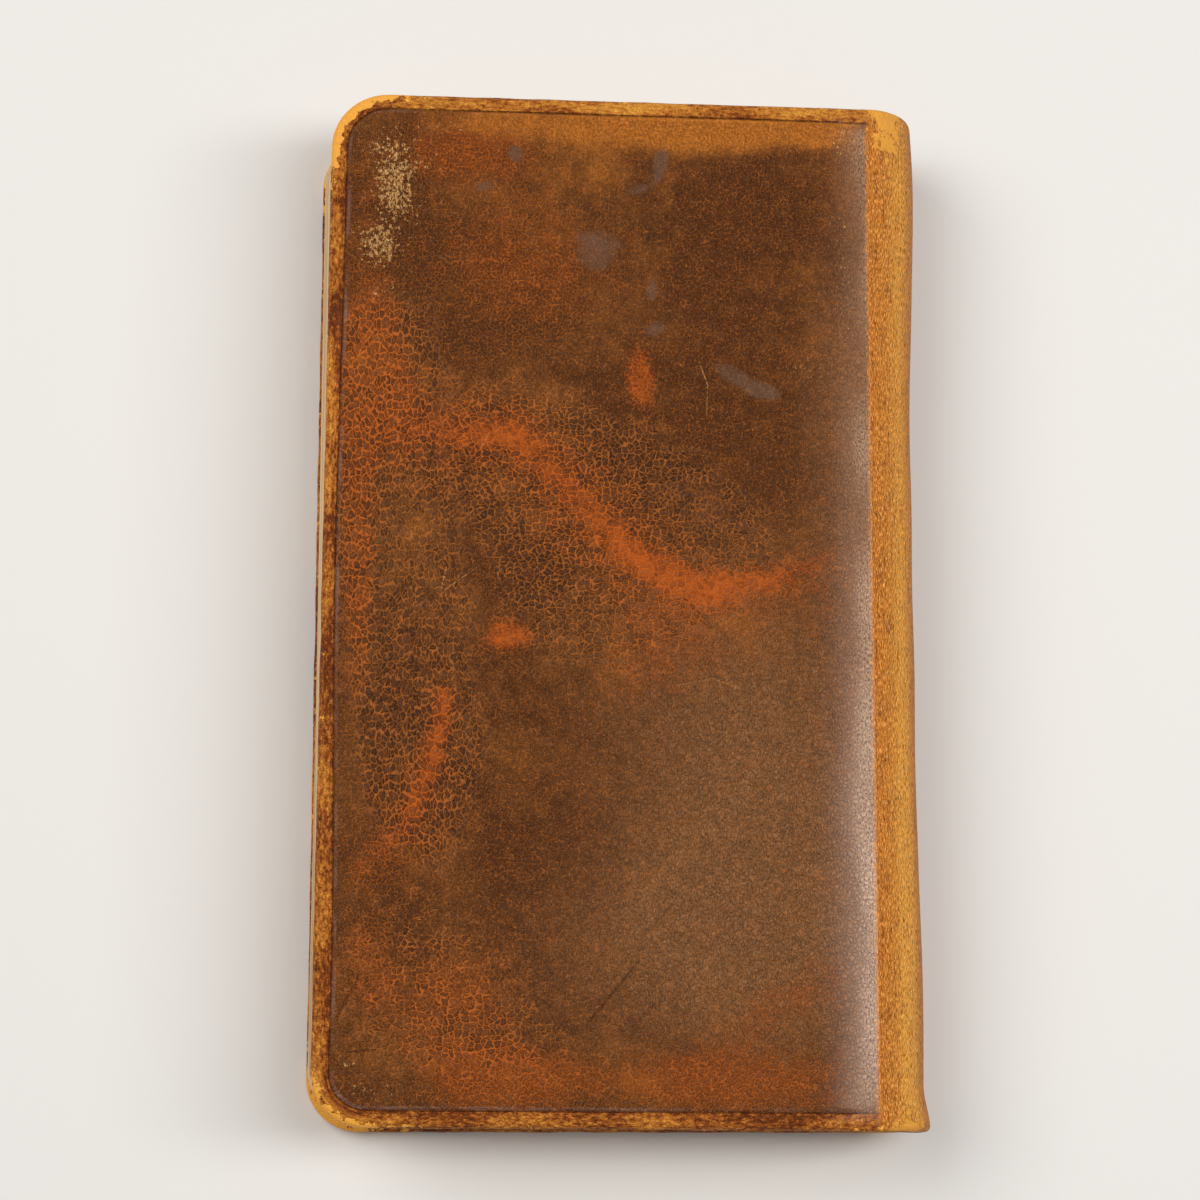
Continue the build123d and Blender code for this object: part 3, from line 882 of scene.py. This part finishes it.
leatherLook = {
    "darkCell": rgb(0.070, 0.020, 0.005),
    "brown": rgb(0.148, 0.050, 0.012),
    "softBrown": rgb(0.222, 0.099, 0.038),
    "russet": rgb(0.250, 0.052, 0.006),
    "rust": rgb(0.370, 0.112, 0.018),
    "orange": rgb(0.480, 0.096, 0.008),
    "umber": rgb(0.260, 0.095, 0.020),
    "bronze": rgb(0.400, 0.122, 0.017),
    "tan": rgb(0.590, 0.185, 0.022),
    "ochre": rgb(0.600, 0.205, 0.027),
    "bare": rgb(0.840, 0.375, 0.052),
    "fleck": rgb(0.640, 0.300, 0.090),
    "gilt": rgb(0.880, 0.450, 0.130),
    "cream": rgb(0.760, 0.430, 0.155),
    "grey": rgb(0.180, 0.094, 0.056),
    # painted sheen colours: a pale buffed tone, and below it the highlight flecks
    "buffedSheen": rgb(0.380, 0.185, 0.090),
    "sheenHighlight": rgb(0.740, 0.510, 0.340),
    # grey of the tooled line's burnish, partly a painted sheen
    "burnishSheenGrey": rgb(0.250, 0.130, 0.090),
    "deepBrown": rgb(0.050, 0.013, 0.003),
    "flesh": rgb(0.430, 0.230, 0.100),
    "fineCell": 0.68,
    "coarseCell": 1.08,
    "bump": 0.0002,
}
# Scores on the back cover: from, to (in u and v), width in millimetres, strength
scores = [
    ((20.2, 90.0), (21.0, 93.6), 0.20, 0.8), ((20.5, 89.5), (26.5, 94.0), 0.16, 0.6),
    ((64.2, 130.6), (65.6, 126.6), 0.18, 0.9), ((65.6, 126.6), (65.4, 121.5), 0.16, 0.6),
    ((60.0, 74.0), (66.5, 75.3), 0.16, 0.5), ((66.5, 75.3), (71.0, 73.6), 0.16, 0.4),
    ((26.5, 114.5), (28.0, 117.0), 0.2, 0.5), ((40.5, 172.5), (36.5, 169.0), 0.18, 0.3),
]
# Creases on the back cover, in the same columns; the material darkens them with painted shade and dents them
creases = [
    ((45.8, 17.6), (54.0, 27.6), 0.35, 0.9), ((4.2, 18.0), (7.4, 24.0), 0.4, 0.8),
    ((57.0, 34.0), (60.0, 37.6), 0.3, 0.5), ((6.0, 12.2), (10.6, 12.6), 0.25, 0.8),
    ((8.0, 13.6), (8.6, 10.2), 0.25, 0.7),
]


def leatherMaterial(name, values):
    made, tree = newMaterial(name)

    def mul(a, b):
        return math2(tree, "MULTIPLY", a, b)

    def add(a, b):
        return math2(tree, "ADD", a, b)

    def less(a, b, clamp=False):
        return math2(tree, "SUBTRACT", a, b, clamp)

    def step(value, low, high, outLow=0.0, outHigh=1.0):
        return ramp(tree, value, low, high, outLow, outHigh)

    def over(share, first, second):
        return blendTo(tree, share, first, second)

    def mixed(share, first, second):
        return blendNumber(tree, share, first, second)

    def swayed(mask, pattern, amount):
        # The mask pushed up and down by a pattern round one half
        return add(mask, mul(less(pattern, 0.5), amount))

    def shaded(colour, shade):
        grey = place(tree, "ShaderNodeCombineColor", {0: shade, 1: shade, 2: shade}).outputs[0]
        return blendTo(tree, 1.0, colour, grey, "MULTIPLY")

    def flaked(mask, size, spread, softness):
        return useGroup(tree, flakeGroup, {"Mask": mask, "Vector": where, "Size": size,
                                           "Spread": spread, "Softness": softness})["Mask"]

    def grain(across, along, width):
        return useGroup(tree, grainGroup, {"Vector": where, "Across": across, "Along": along,
                                           "Crease Width": width})

    def painted(label):
        # The red, green and blue of one attribute, and its alpha
        read = place(tree, "ShaderNodeAttribute", attribute_name=label)
        parts = place(tree, "ShaderNodeSeparateColor", {0: read.outputs["Color"]}).outputs
        return parts[0], parts[1], parts[2], read.outputs["Alpha"]

    where = place(tree, "ShaderNodeAttribute", attribute_name="grainPlace").outputs["Vector"]
    rim = place(tree, "ShaderNodeAttribute", attribute_name="rimPlace").outputs["Vector"]
    offLine = place(tree, "ShaderNodeSeparateXYZ", {0: rim}).outputs[0]
    orange, warm, dark, pale = painted("tint")
    grey, cream, tan, coarse = painted("spot")
    wear, jointBand, ridge, longGrain = painted("worn")
    outside, polishAndSheen, flesh, spineShare = painted("seat")

    fine = grain(values["fineCell"], values["fineCell"] * 1.15, 0.26)
    big = grain(values["coarseCell"], values["coarseCell"] * 0.9, 0.2)
    tall = grain(values["coarseCell"] * 0.78, values["coarseCell"] * 1.35, 0.21)
    cloud = noise(tree, where, 0.06, 4.0, 0.6)
    mottle = noise(tree, where, 0.35, 4.0, 0.6)
    speck = noise(tree, stretched(tree, where, 1.0, 0.8), 2.2, 3.0, 0.6)
    brushed = noise(tree, stretched(tree, where, 1.0, 0.4), 4.2, 3.0, 0.65)
    useBig = step(swayed(coarse, mottle, 1.0), 0.35, 0.75)
    useTall = step(swayed(longGrain, cloud, 1.0), 0.35, 0.8)

    def grainOf(part):
        return mixed(useTall, mixed(useBig, fine[part], big[part]), tall[part])

    crease, cell, height = grainOf("Crease"), grainOf("Cell"), grainOf("Height")

    # Ground colour: dark, middle and soft brown in clouds, then a tone for each cell
    tone = add(step(cloud, 0.35, 0.68, 0.05, 0.75), step(mottle, 0.3, 0.75, -0.04, 0.22))
    ground = over(less(tone, mul(dark, 0.95), True), values["darkCell"], values["brown"])
    ground = over(mul(pale, 0.8), ground, values["softBrown"])
    warmHere = step(swayed(warm, mottle, 0.9), 0.1, 0.95)
    ground = over(mul(warmHere, 0.45), ground, values["russet"])
    bold = mul(math2(tree, "MAXIMUM", useBig, useTall), less(1.0, pale))
    ground = shaded(ground, mixed(bold, step(cell, 0.0, 1.0, 0.84, 1.14),
                                  step(cell, 0.0, 1.0, 0.55, 1.1)))
    ground = shaded(ground, mixed(pale, step(brushed, 0.3, 0.7, 0.84, 1.22),
                                  step(brushed, 0.3, 0.7, 0.66, 1.5)))

    # Furrows are rubbed lighter than the cells, most of all where the hide is warm or coarse
    creaseShow = add(step(mottle, 0.3, 0.7, 0.18, 0.34), mul(warm, 0.55))
    creaseShow = add(creaseShow, mul(bold, step(mottle, 0.3, 0.6, 0.12, 0.46)))
    creaseShow = mul(creaseShow, less(1.0, mul(pale, 0.7)))
    creaseColour = over(bold, values["bronze"], values["rust"])
    creaseColour = over(mul(warmHere, 0.7), creaseColour, values["orange"])
    ground = over(math2(tree, "MULTIPLY", crease, creaseShow, True), ground, creaseColour)
    ground = over(step(speck, 0.57, 0.7, 0.0, 0.28), ground, values["tan"])
    dust = noise(tree, where, 5.5, 2.0, 0.7)
    ground = over(mul(step(dust, 0.63, 0.74), step(mottle, 0.3, 0.7, 0.25, 0.7)), ground, values["fleck"])

    # Broad rubs: orange streaks that keep their cells, the tan strip at the head, grey stains
    orangeReach = swayed(swayed(swayed(orange, mottle, 0.75), crease, 0.4), speck, 0.35)
    orangeHere = step(orangeReach, 0.05, 1.0, 0.0, 0.93)
    orangeTone = over(step(cell, 0.0, 0.8, 0.25, 1.0), values["russet"], values["orange"])
    orangeTone = over(mul(crease, 0.6), orangeTone, values["orange"])
    ground = over(orangeHere, ground, orangeTone)
    tanHere = step(swayed(tan, cloud, 1.6), 0.15, 0.95)
    ground = over(mul(tanHere, step(speck, 0.35, 0.65, 0.45, 0.95)), ground, values["tan"])
    greyHere = flaked(grey, 3.0, 0.5, 0.4)
    ground = over(mul(greyHere, 0.7), ground, values["grey"])

    # Painted sheen over the buffing: paler towards the bends, with painted highlight flecks on the last
    # three millimetres and dark dashes among them
    ground = over(mul(step(swayed(polishAndSheen, brushed, 0.5), 0.15, 1.0), 0.75), ground, values["buffedSheen"])
    sheenFlecksHere = mul(step(polishAndSheen, 0.6, 1.05), step(brushed, 0.42, 0.56))
    ground = over(mul(sheenFlecksHere, 0.9), ground, values["sheenHighlight"])
    ground = over(mul(polishAndSheen, step(brushed, 0.4, 0.32, 0.0, 0.6)), ground, values["darkCell"])

    # Joint ribbons: long streaks of ochre, russet and deep brown beside the bends
    streaks = noise(tree, stretched(tree, where, 1.0, 0.07), 2.2, 4.0, 0.65)
    finer = noise(tree, stretched(tree, where, 1.0, 0.16), 7.0, 3.0, 0.65)
    jointColour = over(step(add(streaks, mul(less(mottle, 0.5), 0.5)), 0.3, 0.52), values["rust"],
                       values["ochre"])
    bright = mul(ridge, step(add(streaks, mul(finer, 0.8)), 0.62, 0.92))
    jointColour = over(bright, jointColour, values["bare"])
    jointColour = over(step(finer, 0.56, 0.66, 0.0, 0.7), jointColour, values["gilt"])
    jointColour = over(step(finer, 0.4, 0.3, 0.0, 0.35), jointColour, values["deepBrown"])
    jointColour = over(mul(dark, mul(spineShare, 0.75)), jointColour, values["umber"])
    jointColour = shaded(jointColour, mul(step(brushed, 0.32, 0.68, 0.9, 1.15),
                                          step(finer, 0.36, 0.64, 0.74, 1.32)))
    ground = over(step(swayed(swayed(jointBand, finer, 0.6), mottle, 0.3), 0.25, 0.6), ground, jointColour)

    # Outside the tooled line: zones of russet and ochre with short flecks along the edge
    rimStreak = noise(tree, stretched(tree, rim, 1.0, 0.45), 1.7, 5.0, 0.7)
    zone = noise(tree, stretched(tree, rim, 0.15, 0.06), 1.0, 3.0, 0.6)
    rimMix = add(add(zone, mul(less(rimStreak, 0.5), 1.3)), mul(less(tan, 0.3), 0.14))
    rimMix = less(rimMix, step(offLine, -1.7, -0.5, 0.0, 0.1))
    rimColour = over(step(rimMix, 0.28, 0.6), values["russet"], values["ochre"])
    rimColour = over(step(rimMix, 0.56, 0.76, 0.0, 0.85), rimColour, values["bare"])
    rimColour = over(step(add(rimMix, mul(speck, 0.4)), 0.58, 0.36, 0.0, 0.7), rimColour, values["darkCell"])
    ground = over(mul(outside, 0.92), ground, rimColour)

    # The tooled line: a furrow darkened with painted shade beside a greyish burnished one, partly a painted
    # sheen
    lineShow = mul(less(1.0, flesh), less(1.0, spineShare))
    furrowAndShade = mul(step(math2(tree, "ABSOLUTE", add(offLine, 0.14)), 0.24, 0.05), lineShow)
    burnishAndSheen = mul(step(math2(tree, "ABSOLUTE", less(offLine, 0.25)), 0.4, 0.16),
                  mul(lineShow, flaked(0.62, 9.0, 0.7, 0.3)))
    ground = over(mul(furrowAndShade, 0.7), ground, values["deepBrown"])
    ground = over(mul(burnishAndSheen, 0.85), ground, over(tanHere, values["burnishSheenGrey"], values["ochre"]))

    # Rubs through to the pale leather: cream abrasions, then the bare rims and corners
    creamHere = mul(flaked(mul(cream, 0.86), 0.8, 2.2, 0.2), step(brushed, 0.38, 0.58))
    ground = over(mul(creamHere, 0.85), ground, values["cream"])
    bareHere = flaked(wear, 2.2, 1.3, 0.07)
    bareTone = over(step(mottle, 0.5, 0.8, 0.0, 0.4), values["bare"], values["fleck"])
    ground = over(bareHere, ground, shaded(bareTone, step(brushed, 0.3, 0.7, 0.95, 1.15)))

    def strongest(lines):
        mask = None
        for (start, end, width, strength) in lines:
            one = useGroup(tree, scoreGroup, {"Vector": where, "Width": width,
                                              "From": (start[0] + sLow, start[1] - halfHeight, 0),
                                              "To": (end[0] + sLow, end[1] - halfHeight, 0)})["Mask"]
            one = mul(one, strength)
            mask = one if mask is None else math2(tree, "MAXIMUM", mask, one)
        return mask

    scoreMask, creaseAndShadeMask = strongest(values["scores"]), strongest(values["creases"])
    if scoreMask is not None:
        ground = over(mul(scoreMask, step(speck, 0.35, 0.6)), ground, values["fleck"])
    # the creases are darkened with painted shade along them, and dented in the bump below
    if creaseAndShadeMask is not None:
        ground = over(mul(creaseAndShadeMask, 0.5), ground, values["deepBrown"])
    ground = over(flesh, ground, over(mottle, values["flesh"], values["tan"]))

    rough = step(mottle, 0.3, 0.7, 0.42, 0.52)
    rough = mixed(crease, rough, 0.6)
    rough = mixed(mul(greyHere, 0.6), rough, 0.38)
    rough = mixed(math2(tree, "MAXIMUM", bareHere, creamHere), rough, 0.55)
    rough = mixed(burnishAndSheen, rough, 0.34)
    rough = mixed(flesh, rough, 0.85)
    bumpHeight = mul(height, mixed(orangeHere, 1.0, 0.6))
    bumpHeight = mul(bumpHeight, mixed(bareHere, 1.0, 0.25))
    bumpHeight = add(bumpHeight, mul(mul(finer, jointBand), 1.0))
    bumpHeight = less(less(bumpHeight, mul(furrowAndShade, 0.8)), mul(bareHere, 0.5))
    if creaseAndShadeMask is not None:
        bumpHeight = less(bumpHeight, mul(creaseAndShadeMask, 1.4))
    bump = place(tree, "ShaderNodeBump", {"Height": bumpHeight, "Distance": values["bump"], "Strength": 1.0})
    glaze = mul(mul(polishAndSheen, less(1.0, flesh)), mixed(crease, 1.0, 0.4))
    surface = place(tree, "ShaderNodeBsdfPrincipled", {
        "Base Color": ground, "Roughness": rough, "Normal": bump.outputs["Normal"], "IOR": 1.48,
        "Specular IOR Level": 0.14, "Coat Weight": glaze, "Coat Roughness": 0.3, "Coat IOR": 1.45})
    place(tree, "ShaderNodeOutputMaterial", {"Surface": surface.outputs[0]})
    return made


coverLook = dict(leatherLook, scores=scores, creases=creases)
plainLook = dict(leatherLook, scores=[], creases=[])
backLeather = leatherMaterial("backCoverHide", coverLook)
plainLeather = leatherMaterial("spineAndFrontHide", plainLook)
backCoverLeather.data.materials.append(backLeather)
spineLeather.data.materials.append(plainLeather)
frontCoverLeather.data.materials.append(plainLeather)
print("leather materials made")


# Paper ageing: browner in clouds, with foxing spots and a fine fibre
ageGroup, aIn, aOut = newGroup(
    "paperAge",
    [("Vector", "NodeSocketVector", None), ("Fresh", "NodeSocketColor", rgb(0.7, 0.6, 0.42)),
     ("Old", "NodeSocketColor", rgb(0.45, 0.3, 0.15)), ("Fox", "NodeSocketColor", rgb(0.3, 0.14, 0.05))],
    [("Color", "NodeSocketColor"), ("Height", "NodeSocketFloat")])
ageCloud = noise(ageGroup, aIn.outputs["Vector"], 45.0, 4.0, 0.6, "3D")
ageSpots = noise(ageGroup, aIn.outputs["Vector"], 260.0, 3.0, 0.6, "3D")
ageFibre = noise(ageGroup, aIn.outputs["Vector"], 2600.0, 2.0, 0.6, "3D")
aged = blendTo(ageGroup, ramp(ageGroup, ageCloud, 0.35, 0.75), aIn.outputs["Fresh"], aIn.outputs["Old"])
aged = blendTo(ageGroup, ramp(ageGroup, ageSpots, 0.66, 0.78, 0.0, 0.55), aged, aIn.outputs["Fox"])
aged = blendTo(ageGroup, ramp(ageGroup, ageFibre, 0.35, 0.65, 0.0, 0.12), aged, aIn.outputs["Old"])
ageGroup.links.new(aged, aOut.inputs["Color"])
ageGroup.links.new(ageFibre, aOut.inputs["Height"])


def paperMaterial(name, fresh, old, fox, rough, bumpDistance=0.00004):
    made, tree = newMaterial(name)
    where = place(tree, "ShaderNodeTexCoord").outputs["Object"]
    aged = useGroup(tree, ageGroup, {"Vector": where, "Fresh": fresh, "Old": old, "Fox": fox})
    dullSurface(tree, aged["Color"], rough, aged["Height"], bumpDistance)
    return made


def leafMaterial(name):
    # Edges of the leaves: thin lines that run on along the block, with duller gatherings and dust
    made, tree = newMaterial(name)
    where = place(tree, "ShaderNodeTexCoord").outputs["Object"]
    lines = noise(tree, stretched(tree, where, 9.0, 9.0, 6500.0), 1.0, 3.0, 0.6, "3D")
    sections = noise(tree, stretched(tree, where, 5.0, 5.0, 900.0), 1.0, 2.0, 0.5, "3D")
    grime = noise(tree, where, 55.0, 4.0, 0.6, "3D")
    colour = blendTo(tree, ramp(tree, lines, 0.35, 0.62), rgb(0.50, 0.31, 0.15), rgb(0.78, 0.58, 0.34))
    colour = blendTo(tree, ramp(tree, sections, 0.55, 0.7, 0.0, 0.3), colour, rgb(0.44, 0.27, 0.13))
    colour = blendTo(tree, ramp(tree, grime, 0.5, 0.8, 0.0, 0.35), colour, rgb(0.42, 0.28, 0.14))
    dullSurface(tree, colour, 0.8, lines, 0.00012)
    return made


def threadMaterial(name, first, second, attribute=None):
    # Wound thread in two tones, in bands along the roll, or a laid cord's slanting strands
    made, tree = newMaterial(name)
    if attribute:
        where = place(tree, "ShaderNodeAttribute", attribute_name=attribute).outputs["Vector"]
        waves, fibres, distortion, bands = 0.5, 9.0, 0.6, "X"
    else:
        where = place(tree, "ShaderNodeTexCoord").outputs["Object"]
        waves, fibres, distortion, bands = 420.0, 3500.0, 1.0, "DIAGONAL"
    strand = place(tree, "ShaderNodeTexWave",
                   {"Vector": where, "Scale": waves, "Distortion": distortion, "Detail": 1.0},
                   bands_direction=bands).outputs["Fac"]
    fibre = noise(tree, where, fibres, 2.0, 0.6, "3D")
    colour = blendTo(tree, strand, first, second)
    colour = blendTo(tree, ramp(tree, fibre, 0.4, 0.7, 0.0, 0.35), colour, rgb(0.25, 0.15, 0.07))
    dullSurface(tree, colour, 0.75, math2(tree, "ADD", strand, fibre), 0.00006)
    return made


endpaper = paperMaterial("agedEndpaper", rgb(0.74, 0.64, 0.45), rgb(0.56, 0.42, 0.24),
                         rgb(0.34, 0.17, 0.06), 0.78)
pasteboard = paperMaterial("pasteboard", rgb(0.44, 0.36, 0.26), rgb(0.3, 0.23, 0.15),
                           rgb(0.18, 0.12, 0.07), 0.9, 0.00012)
liningPaper = paperMaterial("liningPaper", rgb(0.55, 0.44, 0.3), rgb(0.36, 0.25, 0.14),
                            rgb(0.2, 0.1, 0.04), 0.85)
leafEdges = leafMaterial("trimmedLeaves")
bandThread = threadMaterial("endbandThread", rgb(0.62, 0.48, 0.28), rgb(0.3, 0.1, 0.05), "threadPlace")
hempCord = threadMaterial("hempCord", rgb(0.52, 0.4, 0.24), rgb(0.34, 0.24, 0.13))

leafBlock.data.materials.append(leafEdges)
headEndband.data.materials.append(bandThread)
tailEndband.data.materials.append(bandThread)
finishes = {
    "back_board": pasteboard, "front_board": pasteboard,
    "back_pastedown": endpaper, "front_pastedown": endpaper,
    "back_flyleaf": endpaper, "front_flyleaf": endpaper,
    "spine_lining": liningPaper,
    "sewing_cord_1": hempCord, "sewing_cord_2": hempCord,
    "sewing_cord_3": hempCord, "sewing_cord_4": hempCord,
}
for nodeName, finish in finishes.items():
    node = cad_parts[nodeName]
    node.data.materials.clear()
    node.data.materials.append(finish)
print("finishes placed on", len(finishes), "kept nodes")


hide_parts("back_cover_leather")
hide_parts("front_cover_leather")
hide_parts("spine_leather")
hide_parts("text_block")
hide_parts("head_endband")
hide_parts("tail_endband")
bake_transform(backCoverLeather)
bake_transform(frontCoverLeather)
for piece in (spineLeather, leafBlock, headEndband, tailEndband):
    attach(piece, "block")


studio = {
    "floorColour": rgb(0.80, 0.79, 0.77),
    "worldColour": rgb(1.0, 0.98, 0.96),
    "worldStrength": 0.22,
    "floorSide": 6.0,
    "floorHeight": -0.00004,
}
floorMesh = bpy.data.meshes.new("floor")
side, floorAt = studio["floorSide"], studio["floorHeight"]
floorMesh.from_pydata([(-side, -side, floorAt), (side, -side, floorAt), (side, side, floorAt),
                       (-side, side, floorAt)], [], [(0, 1, 2, 3)])
floor = bpy.data.objects.new("floor", floorMesh)
bpy.context.scene.collection.objects.link(floor)
floorMaterial, floorTree = newMaterial("paleFloor")
floorPaint = place(floorTree, "ShaderNodeBsdfPrincipled",
                   {"Base Color": studio["floorColour"], "Roughness": 0.9})
place(floorTree, "ShaderNodeOutputMaterial", {"Surface": floorPaint.outputs[0]})
floorMesh.materials.append(floorMaterial)


def softLight(name, spot, target, width, height, power, colour=(1, 1, 1)):
    # A rectangular lamp facing its target; power in watts
    data = bpy.data.lights.new(name, "AREA")
    data.shape = "RECTANGLE"
    data.size, data.size_y = width, height
    data.energy = power
    data.color = colour
    lamp = bpy.data.objects.new(name, data)
    lamp.location = spot
    lamp.rotation_euler = (Vector(target) - Vector(spot)).to_track_quat("-Z", "Y").to_euler()
    bpy.context.scene.collection.objects.link(lamp)
    return lamp


softLight("keyLight", (-0.75, 0.35, 1.05), (0, 0, 0.01), 0.9, 0.9, 10.5, (1.0, 0.98, 0.95))
softLight("spineLight", (0.5, 0.02, 0.85), (0.03, 0, 0.02), 0.24, 0.9, 5.6, (1.0, 0.98, 0.96))

world = bpy.data.worlds.new("studio")
world.use_nodes = True
world.node_tree.nodes.clear()
sky = place(world.node_tree, "ShaderNodeBackground",
            {"Color": studio["worldColour"], "Strength": studio["worldStrength"]})
place(world.node_tree, "ShaderNodeOutputWorld", {"Surface": sky.outputs[0]})
bpy.context.scene.world = world

view = {
    "lens": 88.5,
    "location": (-0.039235, -0.095384, 0.515626),
    "target": (-0.0034, -0.0005, 0.025),
    "roll": 21.37,
}
cameraData = bpy.data.cameras.new("camera")
cameraData.lens = view["lens"]
cameraData.sensor_width = 36.0
cameraData.clip_start = 0.01
camera = bpy.data.objects.new("camera", cameraData)
back = (Vector(view["location"]) - Vector(view["target"])).normalized()
level = Vector((0, 0, 1)).cross(back).normalized()
rise = back.cross(level)
roll = math.radians(view["roll"])
right = level * math.cos(roll) + rise * math.sin(roll)
up = -level * math.sin(roll) + rise * math.cos(roll)
camera.matrix_world = Matrix(((right.x, up.x, back.x, view["location"][0]),
                              (right.y, up.y, back.y, view["location"][1]),
                              (right.z, up.z, back.z, view["location"][2]),
                              (0, 0, 0, 1)))
bpy.context.scene.collection.objects.link(camera)
bpy.context.scene.camera = camera
bpy.context.scene.view_settings.view_transform = "Standard"
